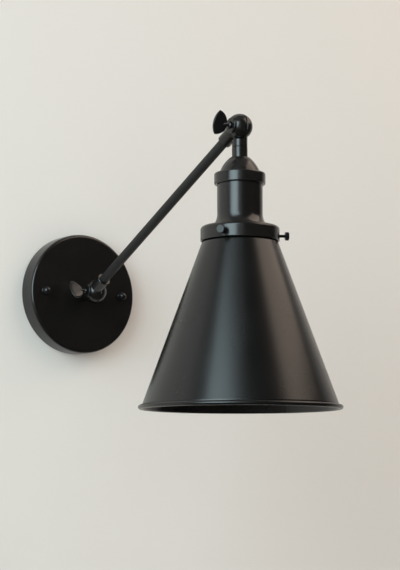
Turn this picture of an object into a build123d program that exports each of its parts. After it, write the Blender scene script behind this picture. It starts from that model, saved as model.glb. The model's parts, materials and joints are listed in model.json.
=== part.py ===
from build123d import *
from math import cos, radians, sin
import os

# Adjustable wall lamp: a round pan on the wall, one straight arm carried on two
# split-ball knuckles with leaf thumb keys, and a keyless socket that holds a
# conical steel shade on a three-screw holder.
#
# Millimetres. The origin is the centre of the pan's back face, on the wall.
# +Z is up, +X is to the right for someone facing the wall, and the lamp stands
# out from the wall along -Y.

# ---------------------------------------------------------------- wall plate
PLATE_DIAMETER = 120.0
PLATE_DEPTH = 19.5
PLATE_WALL = 1.2
PLATE_EDGE_RADIUS = 3.0

STUD_SPACING = 88.9  # 3.5 in between the two studs
STUD_DIAMETER = 4.1
STUD_PROUD = 4.6  # how far a stud stands out of the plate, inside its cap nut
CAP_NUT_DIAMETER = 8.4
CAP_NUT_SKIRT = 2.4
CAP_NUT_CHAMFER = 0.4

STRAP_WIDTH = 21.0
STRAP_THICKNESS = 2.0
STRAP_FLANGE = 3.6  # height of the folded long edges
STRAP_END_MARGIN = 8.5  # metal past each stud
STRAP_CORNER_RADIUS = 3.0
STRAP_WIRE_HOLE = 16.0
BOX_SCREW_SPACING = 69.85  # 2.75 in between the ears of a round wall box
BOX_SLOT_LENGTH = 9.0
BOX_SLOT_WIDTH = 4.8
GROUND_SCREW_OFFSET = 17.0  # from the centre of the strap
GROUND_SCREW_DIAMETER = 4.1
GROUND_SCREW_HEAD = 8.0
GROUND_SCREW_HEAD_HEIGHT = 3.0

NUT_FLATS = 8.7  # stud lock nut, across the flats
NUT_HEIGHT = 3.2

# ------------------------------------------------------------------ knuckles
BALL_RADIUS = 11.5
BALL_CAVITY_RADIUS = 7.2
WASHER_THICKNESS = 0.8
WASHER_RECESS = 0.9  # the washer's edge lies this far inside the ball
SPLIT_CHAMFER = 0.35  # on the edge of each half, beside the washer
BOSS_DIAMETER = 14.0
BOSS_FACE = 10.6  # from the split to the raised face round the key
BOSS_EDGE_RADIUS = 1.0
BOSS_RECESS_DIAMETER = 7.0
BOSS_RECESS_DEPTH = 1.3  # the key's shoulder bears on the floor of this recess
SPOT_FACE_DIAMETER = 16.4  # milled flat that the boss stands on
SPOT_FACE = 8.7  # from the split to this flat
TAPPED_BOSS_DIAMETER = 7.6
STEM_GAP = 0.7  # a stem starts this far outside the other half of the ball
STEM_DIAMETER = 13.7
STEM_CHAMFER = 0.4
WIRE_BORE = 6.0
KNUCKLE_STANDOFF = 21.2  # lower ball's centre to the face of the wall plate
NECK_DROP = 18.7  # upper ball's centre to the end of its stem

KEY_THREAD_DIAMETER = 4.0
KEY_TIP_COVER = 2.0  # metal left over the tip of the key
KEY_SHOULDER_DIAMETER = 5.8
KEY_SHOULDER_LENGTH = 3.0
KEY_LEAF_START = 14.4  # split to the near edge of the leaf
KEY_LEAF_WIDTH = 14.4
KEY_LEAF_TIP = 11.7  # shank's axis to the pointed end of the leaf
KEY_LEAF_HEEL = 9.7  # shank's axis to the blunt end
KEY_LEAF_THICKNESS = 2.2
KEY_LEAF_EDGE_RADIUS = 0.5
BASE_KEY_TURN = -35.0  # degrees from upright, as the two keys stand at rest
TOP_KEY_TURN = 18.0

# ----------------------------------------------------------------------- arm
ARM_LENGTH = 270.0  # hinge to hinge
ARM_ELEVATION = 27.3  # degrees above level, at rest
ARM_TUBE_DIAMETER = 9.0
ARM_TUBE_WALL = 1.1
ARM_OFFSET = 2.0  # the arm lies this far to the key's side of the split
COLLAR_DIAMETER = 13.0
COLLAR_REACH = 22.5  # ball's centre to the end of the collar
COLLAR_SOCKET_DEPTH = 8.5

# ------------------------------------------------- threaded tube and its nuts
NIPPLE_DIAMETER = 9.7
NIPPLE_BORE = 7.2
NIPPLE_GRIP = 7.0  # length held in each stem
LOCK_NUT_FLATS = 14.0
LOCK_NUT_HEIGHT = 3.6
LOCK_WASHER_DIAMETER = 18.0
LOCK_WASHER_THICKNESS = 1.0
NIPPLE_END = 1.5  # thread left past each nut
COUPLING_LENGTH = 9.6
COUPLING_DIAMETER = 13.9

# -------------------------------------------------------------------- socket
CAP_TOP_DIAMETER = 17.8
CAP_BASE_DIAMETER = 36.4
CAP_HEIGHT = 13.7
CAP_BULGE = 0.8  # how far the dome's side swells past a straight cone
CAP_WALL = 1.1
CAP_FLANGE_WIDTH = 3.2
RING_DIAMETER = 45.2
RING_HEIGHT = 10.2
RING_LIP = 2.3
RING_TOP_RADIUS = 1.5
RING_BOTTOM_RADIUS = 1.0
SLEEVE_DIAMETER = 40.2
SLEEVE_WALL = 1.0
SLEEVE_LENGTH = 37.4  # below the ring
SLEEVE_FLARE_HEIGHT = 7.8
SLEEVE_FLARE_DIAMETER = 44.4
SLEEVE_FLARE_BEND = 1.6
INSULATOR_DIAMETER = 37.2
INSULATOR_NECK_DIAMETER = 33.2
INSULATOR_TOP_GAP = 5.0
SOCKET_BORE = 26.7  # inside of the screw shell, for an E26 lamp base
SHELL_WALL = 0.4
SHELL_DEPTH = 25.0
SHELL_FLOOR_HOLE = 15.0
SHELL_RECESS = 0.8  # shell's mouth above the insulator's
CONTACT_WIDTH = 5.0
CONTACT_THICKNESS = 0.6
CONTACT_LENGTH = 10.0
CONTACT_DROP = 3.6
TERMINAL_SPACING = 20.0
TERMINAL_DIAMETER = 3.4
TERMINAL_LENGTH = 6.0
TERMINAL_HEAD_DIAMETER = 6.4
TERMINAL_HEAD_HEIGHT = 2.0

# ----------------------------------------------------- shade and shade holder
HOLDER_DIAMETER = 69.6
HOLDER_HEIGHT = 13.2
HOLDER_WALL = 1.2
HOLDER_CORNER_RADIUS = 3.2
HOLDER_EDGE_RADIUS = 0.8
HOLDER_RING_DIAMETER = 42.0
HOLDER_RING_HEIGHT = 3.4
SHADE_WALL = 0.8
SHADE_GAP = 0.7  # dark line between the holder and the shade's shoulder
SHADE_SHOULDER_INSET = 1.4  # from the holder's outside to the shade's shoulder
SHADE_ENTRY_GAP = 1.0  # round the shade's lip, inside the holder
SHADE_NECK_HEIGHT = 10.5
SHADE_LIP_WIDTH = 1.3
SHADE_BEND_RADIUS = 1.2
SHADE_HEIGHT = 146.4  # shoulder to the underside of the rim bead
SHADE_DIAMETER = 177.8  # 7 in over the bead
RIM_BEAD_RADIUS = 2.0

SCREW_COUNT = 3
SCREW_FIRST_ANGLE = 90.0  # one screw faces the wall
SCREW_HEIGHT = 5.3  # above the holder's lower edge
SCREW_SHANK_DIAMETER = 2.9
SCREW_HEAD_DIAMETER = 7.4
SCREW_HEAD_LENGTH = 3.5
SCREW_HEAD_STANDOFF = 5.0  # holder to the back of the head
SCREW_HEAD_CHAMFER = 0.4

# ------------------------------------------------------------------ clearances
THREAD_FIT = 0.05  # radial, between a threaded piece and its hole
RUN_FIT = 0.1  # between a turning piece and its bearing, radial or face to face
SEAT_GAP = 0.3  # between two bodies that bear on each other when tightened
HOLE_FIT = 0.25  # radial, round a stud or a nipple in sheet metal

# -------------------------------------------------------------- derived places
PLATE_RADIUS = PLATE_DIAMETER / 2
BASE_BALL_OUT = PLATE_DEPTH + KNUCKLE_STANDOFF
ARM_RISE = ARM_LENGTH * sin(radians(ARM_ELEVATION))
ARM_REACH = ARM_LENGTH * cos(radians(ARM_ELEVATION))
TOP_BALL_OUT = BASE_BALL_OUT + ARM_REACH
STEM_START = BALL_RADIUS + STEM_GAP
WASHER_FACE = WASHER_THICKNESS / 2
BOSS_SEAT = BOSS_FACE - BOSS_RECESS_DEPTH

BASE_PLACE = Pos(0, -BASE_BALL_OUT, 0)
HEAD_PLACE = Pos(0, -TOP_BALL_OUT, ARM_RISE)
OUT_FROM_WALL = Rot(90, 0, 0)  # turns a piece built along +Z to point along -Y

# Heights in the head are measured from the upper hinge, downwards negative.
CAP_TOP_Z = -NECK_DROP - COUPLING_LENGTH
RING_TOP_Z = CAP_TOP_Z - CAP_HEIGHT
FLANGE_TOP_Z = RING_TOP_Z - RING_LIP
SLEEVE_TOP_Z = FLANGE_TOP_Z - CAP_WALL
RING_BOTTOM_Z = RING_TOP_Z - RING_HEIGHT
HOLDER_TOP_Z = RING_BOTTOM_Z - SLEEVE_LENGTH
HOLDER_BOTTOM_Z = HOLDER_TOP_Z - HOLDER_HEIGHT
INSULATOR_TOP_Z = SLEEVE_TOP_Z - INSULATOR_TOP_GAP
SOCKET_MOUTH_Z = HOLDER_BOTTOM_Z + SHELL_RECESS
SHELL_FLOOR_Z = SOCKET_MOUTH_Z + SHELL_RECESS + SHELL_DEPTH
CONTACT_SEAT_Z = SHELL_FLOOR_Z + CONTACT_DROP + CONTACT_THICKNESS
SHADE_SHOULDER_RADIUS = HOLDER_DIAMETER / 2 - SHADE_SHOULDER_INSET
SHADE_LIP_RADIUS = HOLDER_DIAMETER / 2 - HOLDER_WALL - SHADE_ENTRY_GAP
SHADE_NECK_RADIUS = SHADE_LIP_RADIUS - SHADE_LIP_WIDTH
SHOULDER_Z = HOLDER_BOTTOM_Z - SHADE_GAP
RIM_Z = SHOULDER_Z - SHADE_HEIGHT + RIM_BEAD_RADIUS
SCREW_Z = HOLDER_BOTTOM_Z + SCREW_HEIGHT

FROM_BOTTOM = (Align.CENTER, Align.CENTER, Align.MIN)


# ----------------------------------------------------------------- small tools
def rod(diameter, low, high):
    """Round bar on the Z axis between two heights."""
    return Pos(0, 0, low) * Cylinder(diameter / 2, high - low, align=FROM_BOTTOM)


def tube(diameter, bore, low, high):
    """Hollow round bar on the Z axis between two heights."""
    return rod(diameter, low, high) - rod(bore, low, high)


def rod_along_x(diameter, start, end):
    """Round bar on the X axis between two places."""
    return Rot(0, 90, 0) * rod(diameter, start, end)


def hex_nut(flats, bore, low, height):
    """Hexagon nut on the Z axis with its corners turned off at both ends."""
    blank = extrude(RegularPolygon(flats / 2, 6, major_radius=False), height)
    corner = flats / 2 * 0.155  # how far a hexagon's corners pass its flats
    turned = chamfer(rod(flats + 2 * corner, 0, height).edges(), corner * 0.7)
    return Pos(0, 0, low) * ((blank & turned) - rod(bore, 0, height))


def spun(outline, wall, side):
    """Sheet metal spun round the Z axis; outline is its outer face, as (r, z)."""
    section = make_face(outline.offset_2d(wall, kind=Kind.INTERSECTION, side=side))
    return revolve(Plane.XZ * section, Axis.Z)


def set_of(pieces):
    """Identical pieces that stand apart, as one group."""
    return Part() + list(pieces)


def bottom_edges(solid):
    """Round edges in the lowest plane of a turned piece, the outer one last."""
    return solid.edges().group_by(Axis.Z)[0].sort_by(SortBy.RADIUS)


def top_edges(solid):
    """Round edges in the highest plane of a turned piece, the outer one last."""
    return solid.edges().group_by(Axis.Z)[-1].sort_by(SortBy.RADIUS)


# ------------------------------------------------------------- wall plate group
def stud_places():
    """Centres of the two studs, in the plane of the wall."""
    return [Pos(-STUD_SPACING / 2, 0, 0), Pos(STUD_SPACING / 2, 0, 0)]


def wall_plate():
    """Shallow spun pan, open at the wall, with holes for the stem and studs."""
    outline = FilletPolyline(
        (0, PLATE_DEPTH),
        (PLATE_RADIUS, PLATE_DEPTH),
        (PLATE_RADIUS, 0),
        radius=PLATE_EDGE_RADIUS,
    )
    pan = spun(outline, PLATE_WALL, Side.RIGHT)
    pan -= rod(NIPPLE_DIAMETER + 2 * HOLE_FIT, 0, PLATE_DEPTH)
    for place in stud_places():
        pan -= place * rod(STUD_DIAMETER + 2 * HOLE_FIT, 0, PLATE_DEPTH)
    return OUT_FROM_WALL * pan


def mounting_strap():
    """Crossbar that screws to the wall box and carries the two studs."""
    length = STUD_SPACING + 2 * STRAP_END_MARGIN
    bar = extrude(RectangleRounded(length, STRAP_WIDTH, STRAP_CORNER_RADIUS), STRAP_THICKNESS)
    edge_length = length - 2 * STRAP_CORNER_RADIUS
    for side in (-1, 1):
        edge = Box(edge_length, STRAP_THICKNESS, STRAP_FLANGE, align=FROM_BOTTOM)
        bar += Pos(0, side * (STRAP_WIDTH - STRAP_THICKNESS) / 2, 0) * edge
    bar -= rod(STRAP_WIRE_HOLE, 0, STRAP_THICKNESS)
    bar -= Pos(GROUND_SCREW_OFFSET, 0, 0) * rod(
        GROUND_SCREW_DIAMETER + 2 * THREAD_FIT, 0, STRAP_THICKNESS
    )
    slot = extrude(SlotOverall(BOX_SLOT_LENGTH, BOX_SLOT_WIDTH), STRAP_THICKNESS)
    for side in (-1, 1):
        bar -= Pos(side * BOX_SCREW_SPACING / 2, 0, 0) * slot
    for place in stud_places():
        bar -= place * rod(STUD_DIAMETER + 2 * THREAD_FIT, 0, STRAP_THICKNESS)
    return OUT_FROM_WALL * bar


def strap_studs():
    """Two threaded studs, flush with the back of the strap."""
    stud = chamfer(top_edges(rod(STUD_DIAMETER, 0, PLATE_DEPTH + STUD_PROUD)), CAP_NUT_CHAMFER)
    return OUT_FROM_WALL * set_of(place * stud for place in stud_places())


def stud_lock_nuts():
    """Two nuts that lock the studs in the strap."""
    nut = hex_nut(NUT_FLATS, STUD_DIAMETER + 2 * THREAD_FIT, STRAP_THICKNESS, NUT_HEIGHT)
    return OUT_FROM_WALL * set_of(place * nut for place in stud_places())


def cap_nuts():
    """Two domed nuts that hold the pan to the wall."""
    radius = CAP_NUT_DIAMETER / 2
    nut = rod(CAP_NUT_DIAMETER, 0, CAP_NUT_SKIRT) + Pos(0, 0, CAP_NUT_SKIRT) * Sphere(radius)
    nut -= rod(CAP_NUT_DIAMETER * 2, -CAP_NUT_DIAMETER, 0)
    nut = chamfer(bottom_edges(nut), CAP_NUT_CHAMFER)
    nut -= rod(STUD_DIAMETER + 2 * THREAD_FIT, 0, STUD_PROUD + THREAD_FIT)
    on_face = Pos(0, 0, PLATE_DEPTH)
    return OUT_FROM_WALL * set_of(place * on_face * nut for place in stud_places())


def ground_screw():
    """Hexagon-headed earth screw in the strap."""
    head = hex_nut(GROUND_SCREW_HEAD, GROUND_SCREW_DIAMETER, STRAP_THICKNESS, GROUND_SCREW_HEAD_HEIGHT)
    shank = rod(GROUND_SCREW_DIAMETER, 0, STRAP_THICKNESS + GROUND_SCREW_HEAD_HEIGHT)
    return OUT_FROM_WALL * Pos(GROUND_SCREW_OFFSET, 0, 0) * (head + shank)


def base_nipple():
    """Threaded tube that joins the lower knuckle to the plate and passes the wires."""
    inner_end = PLATE_DEPTH - PLATE_WALL - LOCK_WASHER_THICKNESS - LOCK_NUT_HEIGHT - NIPPLE_END
    return OUT_FROM_WALL * tube(NIPPLE_DIAMETER, NIPPLE_BORE, inner_end, PLATE_DEPTH + NIPPLE_GRIP)


def base_lock_washer():
    """Washer between the plate's inside and the lock nut."""
    top = PLATE_DEPTH - PLATE_WALL
    bore = NIPPLE_DIAMETER + 2 * HOLE_FIT
    return OUT_FROM_WALL * tube(LOCK_WASHER_DIAMETER, bore, top - LOCK_WASHER_THICKNESS, top)


def base_lock_nut():
    """Nut that pulls the lower knuckle down on the plate."""
    low = PLATE_DEPTH - PLATE_WALL - LOCK_WASHER_THICKNESS - LOCK_NUT_HEIGHT
    nut = hex_nut(LOCK_NUT_FLATS, NIPPLE_DIAMETER + 2 * THREAD_FIT, low, LOCK_NUT_HEIGHT)
    return OUT_FROM_WALL * nut


# --------------------------------------------------------------------- knuckles
def ball(radius):
    """Ball whose poles lie on the hinge axis."""
    return Rot(0, 90, 0) * Sphere(radius)


def beyond_split(side, face, depth):
    """Block that fills the other half's side of the split, down to a depth."""
    edge = Align.MIN if side < 0 else Align.MAX
    block = Box(4 * BALL_RADIUS, 4 * BALL_RADIUS, 2 * depth, align=(edge, Align.CENTER, Align.CENTER))
    return Pos(side * face, 0, 0) * block


def knuckle_blank(side, face, offset, diameter, reach):
    """Half of the ball on one side of the split, with its stem pointing down."""
    half = ball(BALL_RADIUS) - beyond_split(side, face, 2 * BALL_RADIUS)
    half = chamfer(half.faces().filter_by(GeomType.PLANE).edges(), SPLIT_CHAMFER)
    bar = chamfer(bottom_edges(rod(diameter, -reach, 0)), STEM_CHAMFER)
    return half + (Pos(offset, 0, 0) * bar - beyond_split(side, face, STEM_START))


def stem_bores(offset, reach, seat_diameter, seat_depth):
    """Wire passage down a stem and the threaded seat at its end."""
    passage = rod(WIRE_BORE, -reach, 0) + rod(seat_diameter, -reach, seat_depth - reach)
    return Pos(offset, 0, 0) * passage


def free_half(offset, diameter, reach, seat_diameter, seat_depth):
    """Half that the key passes through, on the -X side, with its boss on a spot face."""
    half = knuckle_blank(-1, WASHER_FACE + RUN_FIT, offset, diameter, reach)
    half -= rod_along_x(SPOT_FACE_DIAMETER, -2 * BALL_RADIUS, -SPOT_FACE)
    boss = rod_along_x(BOSS_DIAMETER, -BOSS_FACE, -BALL_CAVITY_RADIUS)
    half += fillet(boss.edges().filter_by(GeomType.CIRCLE).sort_by(Axis.X)[0], BOSS_EDGE_RADIUS)
    half -= rod_along_x(BOSS_RECESS_DIAMETER, -BOSS_FACE, -BOSS_SEAT)
    half -= ball(BALL_CAVITY_RADIUS)
    half -= stem_bores(offset, reach, seat_diameter, seat_depth)
    return half - rod_along_x(KEY_THREAD_DIAMETER + 2 * RUN_FIT, -BOSS_FACE, 0)


def tapped_half(offset, diameter, reach, seat_diameter, seat_depth):
    """Half that the key screws into, on the +X side, closed outside."""
    half = knuckle_blank(1, WASHER_FACE, offset, diameter, reach)
    half -= ball(BALL_CAVITY_RADIUS)
    half -= stem_bores(offset, reach, seat_diameter, seat_depth)
    half += rod_along_x(TAPPED_BOSS_DIAMETER, WASHER_THICKNESS, BALL_RADIUS - KEY_TIP_COVER)
    tip = BALL_RADIUS - KEY_TIP_COVER + THREAD_FIT
    return half - rod_along_x(KEY_THREAD_DIAMETER + 2 * THREAD_FIT, 0, tip)


def friction_washer():
    """Thin washer in the split; it bears on the tapped half."""
    outer = 2 * (BALL_RADIUS - WASHER_RECESS)
    ring = tube(outer, 2 * BALL_CAVITY_RADIUS, -WASHER_FACE, WASHER_FACE)
    return Rot(0, 90, 0) * ring


def key_leaf():
    """Leaf of a thumb key: a pointed oval plate that the shank meets side on."""
    near = -KEY_LEAF_START
    far = near - KEY_LEAF_WIDTH
    tip = (near - 0.66 * KEY_LEAF_WIDTH, KEY_LEAF_TIP)
    near_heel = (near - 0.06 * KEY_LEAF_WIDTH, -0.5 * KEY_LEAF_HEEL)
    far_heel = (near - 0.78 * KEY_LEAF_WIDTH, -KEY_LEAF_HEEL)
    rim = [
        ThreePointArc(tip, (near - 0.12 * KEY_LEAF_WIDTH, 0.52 * KEY_LEAF_TIP), near_heel),
        ThreePointArc(near_heel, (near - 0.38 * KEY_LEAF_WIDTH, -0.88 * KEY_LEAF_HEEL), far_heel),
        ThreePointArc(far_heel, (far, 0.16 * KEY_LEAF_TIP), tip),
    ]
    blade = extrude(Plane.XZ * make_face(rim), KEY_LEAF_THICKNESS / 2, both=True)
    rims = blade.faces().sort_by(Axis.Y)
    return fillet(rims[0].edges() + rims[-1].edges(), KEY_LEAF_EDGE_RADIUS)


def thumb_key(turn):
    """Screw with a shoulder and a leaf, lying along -X from the split."""
    tip = BALL_RADIUS - KEY_TIP_COVER
    shoulder = BOSS_SEAT + SEAT_GAP
    shank = rod_along_x(KEY_THREAD_DIAMETER, -KEY_LEAF_START - KEY_LEAF_THICKNESS, tip)
    head = rod_along_x(KEY_SHOULDER_DIAMETER, -shoulder - KEY_SHOULDER_LENGTH, -shoulder)
    head = chamfer(head.edges().filter_by(GeomType.CIRCLE), STEM_CHAMFER)
    return Rot(turn, 0, 0) * (key_leaf() + shank + head)


# -------------------------------------------------------------------------- arm
def toward_base():
    """Turns a piece that points down so that it points from the upper to the lower hinge."""
    return Rot(90 - ARM_ELEVATION, 0, 0)


def toward_head():
    """Turns a piece that points down so that it points from the lower to the upper hinge."""
    return Rot(-90 - ARM_ELEVATION, 0, 0)


def arm_half():
    """Knuckle half with the collar that takes an end of the arm tube."""
    seat = ARM_TUBE_DIAMETER + 2 * THREAD_FIT
    return free_half(-ARM_OFFSET, COLLAR_DIAMETER, COLLAR_REACH, seat, COLLAR_SOCKET_DEPTH)


def arm_tube():
    """Straight tube between the two collars, screwed into both."""
    start = COLLAR_REACH - COLLAR_SOCKET_DEPTH
    bore = ARM_TUBE_DIAMETER - 2 * ARM_TUBE_WALL
    pipe = tube(ARM_TUBE_DIAMETER, bore, start - ARM_LENGTH, -start)
    return HEAD_PLACE * toward_base() * Pos(-ARM_OFFSET, 0, 0) * pipe


# ------------------------------------------------------------------------- head
def stem_half(reach):
    """Knuckle half whose stem takes the end of a threaded tube."""
    seat = NIPPLE_DIAMETER + 2 * THREAD_FIT
    return tapped_half(0, STEM_DIAMETER, reach, seat, NIPPLE_GRIP)


def neck_coupling():
    """Plain collar between the knuckle's stem and the socket cap."""
    collar = rod(COUPLING_DIAMETER, CAP_TOP_Z, -NECK_DROP)
    collar = chamfer(top_edges(collar), STEM_CHAMFER)
    return collar - rod(NIPPLE_DIAMETER + 2 * THREAD_FIT, CAP_TOP_Z, -NECK_DROP)


def neck_nipple():
    """Threaded tube through the coupling, from the stem into the socket cap."""
    low = CAP_TOP_Z - CAP_WALL - LOCK_NUT_HEIGHT - NIPPLE_END
    return tube(NIPPLE_DIAMETER, NIPPLE_BORE, low, -NECK_DROP + NIPPLE_GRIP)


def neck_lock_nut():
    """Nut inside the socket cap."""
    low = CAP_TOP_Z - CAP_WALL - LOCK_NUT_HEIGHT
    return hex_nut(LOCK_NUT_FLATS, NIPPLE_DIAMETER + 2 * THREAD_FIT, low, LOCK_NUT_HEIGHT)


def socket_cap():
    """Spun dome with a flange that the ring clamps on the sleeve."""
    top = CAP_TOP_DIAMETER / 2
    base = CAP_BASE_DIAMETER / 2
    middle_r = (top + base) / 2 + CAP_BULGE
    middle_z = (CAP_TOP_Z + RING_TOP_Z) / 2 + CAP_BULGE
    outline = Wire(
        [
            Line((NIPPLE_DIAMETER / 2 + HOLE_FIT, CAP_TOP_Z), (top, CAP_TOP_Z)),
            ThreePointArc((top, CAP_TOP_Z), (middle_r, middle_z), (base, RING_TOP_Z)),
            Line((base, RING_TOP_Z), (base, FLANGE_TOP_Z)),
            Line((base, FLANGE_TOP_Z), (base + CAP_FLANGE_WIDTH, FLANGE_TOP_Z)),
        ]
    )
    return spun(outline, CAP_WALL, Side.RIGHT)


def socket_ring():
    """Threaded ring that clamps the cap's flange to the top of the sleeve."""
    ring = rod(RING_DIAMETER, RING_BOTTOM_Z, RING_TOP_Z)
    ring = fillet(top_edges(ring), RING_TOP_RADIUS)
    ring = fillet(bottom_edges(ring), RING_BOTTOM_RADIUS)
    ring -= rod(CAP_BASE_DIAMETER + 2 * HOLE_FIT, RING_BOTTOM_Z, RING_TOP_Z)
    ring -= rod(SLEEVE_DIAMETER + 2 * THREAD_FIT, RING_BOTTOM_Z, SLEEVE_TOP_Z)
    flange = CAP_BASE_DIAMETER + 2 * CAP_FLANGE_WIDTH + 2 * THREAD_FIT
    return ring - rod(flange, SLEEVE_TOP_Z, FLANGE_TOP_Z)


def socket_sleeve():
    """Outer shell of the socket, flared where it stands on the shade holder."""
    radius = SLEEVE_DIAMETER / 2
    outline = FilletPolyline(
        (radius, SLEEVE_TOP_Z),
        (radius, HOLDER_TOP_Z + SLEEVE_FLARE_HEIGHT),
        (SLEEVE_FLARE_DIAMETER / 2, HOLDER_TOP_Z),
        radius=SLEEVE_FLARE_BEND,
    )
    sleeve = spun(outline, SLEEVE_WALL, Side.RIGHT)
    return sleeve - rod(SLEEVE_FLARE_DIAMETER, HOLDER_TOP_Z - SLEEVE_WALL, HOLDER_TOP_Z)


def socket_insulator():
    """Phenolic body: a shoulder that stands on the holder and a threaded neck."""
    body = rod(INSULATOR_DIAMETER, HOLDER_TOP_Z, INSULATOR_TOP_Z)
    body += rod(INSULATOR_NECK_DIAMETER, SOCKET_MOUTH_Z, HOLDER_TOP_Z)
    seat = SOCKET_BORE + 2 * SHELL_WALL + 2 * THREAD_FIT
    body -= rod(seat, SOCKET_MOUTH_Z, SHELL_FLOOR_Z)
    body -= rod(SHELL_FLOOR_HOLE, SHELL_FLOOR_Z, CONTACT_SEAT_Z)
    for place in terminal_places():
        body -= place * rod(TERMINAL_DIAMETER + 2 * THREAD_FIT, -TERMINAL_LENGTH, 0)
    return body


def screw_shell():
    """Thin brass cup that takes the lamp's screw base."""
    radius = SOCKET_BORE / 2 + SHELL_WALL
    outline = FilletPolyline(
        (radius, SHELL_FLOOR_Z - SHELL_DEPTH),
        (radius, SHELL_FLOOR_Z),
        (SHELL_FLOOR_HOLE / 2, SHELL_FLOOR_Z),
        radius=SHELL_WALL * 2,
    )
    return spun(outline, SHELL_WALL, Side.LEFT)


def centre_contact():
    """Sprung brass tongue on the floor of the socket."""
    half = CONTACT_LENGTH / 2
    path = FilletPolyline(
        (-half, CONTACT_SEAT_Z),
        (half, CONTACT_SEAT_Z),
        (0, CONTACT_SEAT_Z - CONTACT_DROP),
        (-half / 2, CONTACT_SEAT_Z - CONTACT_DROP / 2),
        radius=2 * CONTACT_THICKNESS,
    )
    strip = make_face(path.offset_2d(CONTACT_THICKNESS, kind=Kind.INTERSECTION, side=Side.RIGHT))
    return extrude(Plane.XZ * strip, CONTACT_WIDTH / 2, both=True)


def terminal_places():
    """Where the two terminal screws stand on top of the insulator."""
    half = TERMINAL_SPACING / 2
    return [Pos(-half, 0, INSULATOR_TOP_Z), Pos(half, 0, INSULATOR_TOP_Z)]


def terminal_screws():
    """Two round-headed screws that would clamp the wires."""
    head = chamfer(top_edges(rod(TERMINAL_HEAD_DIAMETER, 0, TERMINAL_HEAD_HEIGHT)), STEM_CHAMFER)
    screw = head + rod(TERMINAL_DIAMETER, -TERMINAL_LENGTH, 0)
    return set_of(place * screw for place in terminal_places())


# ---------------------------------------------------------------- shade fixings
def screw_turns():
    """Turns about the lamp's axis that bring +X round to each shade screw."""
    return [Rot(0, 0, SCREW_FIRST_ANGLE + 360 / SCREW_COUNT * i) for i in range(SCREW_COUNT)]


def shade_holder():
    """Spun cup with a rounded corner and tapped holes for the shade screws."""
    outline = FilletPolyline(
        (INSULATOR_NECK_DIAMETER / 2 + HOLE_FIT, HOLDER_TOP_Z),
        (HOLDER_DIAMETER / 2, HOLDER_TOP_Z),
        (HOLDER_DIAMETER / 2, HOLDER_BOTTOM_Z),
        radius=HOLDER_CORNER_RADIUS,
    )
    cup = spun(outline, HOLDER_WALL, Side.RIGHT)
    cup = fillet(bottom_edges(cup)[-1], HOLDER_EDGE_RADIUS)
    hole = Pos(0, 0, SCREW_Z) * rod_along_x(SCREW_SHANK_DIAMETER + 2 * THREAD_FIT, 0, HOLDER_DIAMETER)
    for turn in screw_turns():
        cup -= turn * hole
    return cup


def holder_ring():
    """Threaded ring that clamps the holder up against the insulator's shoulder."""
    top = HOLDER_TOP_Z - HOLDER_WALL
    ring = rod(HOLDER_RING_DIAMETER, top - HOLDER_RING_HEIGHT, top)
    ring = chamfer(bottom_edges(ring), STEM_CHAMFER)
    return ring - rod(INSULATOR_NECK_DIAMETER + 2 * THREAD_FIT, top - HOLDER_RING_HEIGHT, top)


def shade():
    """Spun cone with a lipped neck inside the holder and a wired rim."""
    neck_top = SHOULDER_Z + SHADE_NECK_HEIGHT
    rim = SHADE_DIAMETER / 2 - RIM_BEAD_RADIUS
    outline = FilletPolyline(
        (SHADE_LIP_RADIUS, neck_top),
        (SHADE_NECK_RADIUS, neck_top),
        (SHADE_NECK_RADIUS, SHOULDER_Z),
        (SHADE_SHOULDER_RADIUS, SHOULDER_Z),
        (rim - RIM_BEAD_RADIUS / 2, RIM_Z + RIM_BEAD_RADIUS / 2),
        radius=SHADE_BEND_RADIUS,
    )
    cone = spun(outline, SHADE_WALL, Side.RIGHT)
    return cone + Pos(0, 0, RIM_Z) * Torus(rim, RIM_BEAD_RADIUS)


def shade_screw():
    """Thumb screw along +X; its tip lies just off the shade's neck, under the lip."""
    tip = SHADE_NECK_RADIUS + SEAT_GAP
    head_back = HOLDER_DIAMETER / 2 + SCREW_HEAD_STANDOFF
    head = rod_along_x(SCREW_HEAD_DIAMETER, head_back, head_back + SCREW_HEAD_LENGTH)
    head = chamfer(head.edges().filter_by(GeomType.CIRCLE), SCREW_HEAD_CHAMFER)
    return Pos(0, 0, SCREW_Z) * (head + rod_along_x(SCREW_SHANK_DIAMETER, tip, head_back))


# --------------------------------------------------------------------- assembly
def wall_parts():
    """Everything that stays still on the wall."""
    return {
        "wall_plate": wall_plate(),
        "mounting_strap": mounting_strap(),
        "strap_studs": strap_studs(),
        "stud_lock_nuts": stud_lock_nuts(),
        "cap_nuts": cap_nuts(),
        "ground_screw": ground_screw(),
        "base_nipple": base_nipple(),
        "base_lock_washer": base_lock_washer(),
        "base_lock_nut": base_lock_nut(),
        "base_knuckle_wall_half": BASE_PLACE * Rot(90, 0, 0) * stem_half(KNUCKLE_STANDOFF),
        "base_friction_washer": BASE_PLACE * friction_washer(),
        "base_thumb_key": BASE_PLACE * thumb_key(BASE_KEY_TURN),
    }


def arm_parts():
    """The arm and the knuckle half at each of its ends."""
    return {
        "base_knuckle_arm_half": BASE_PLACE * toward_head() * arm_half(),
        "arm_tube": arm_tube(),
        "top_knuckle_arm_half": HEAD_PLACE * toward_base() * arm_half(),
    }


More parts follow.
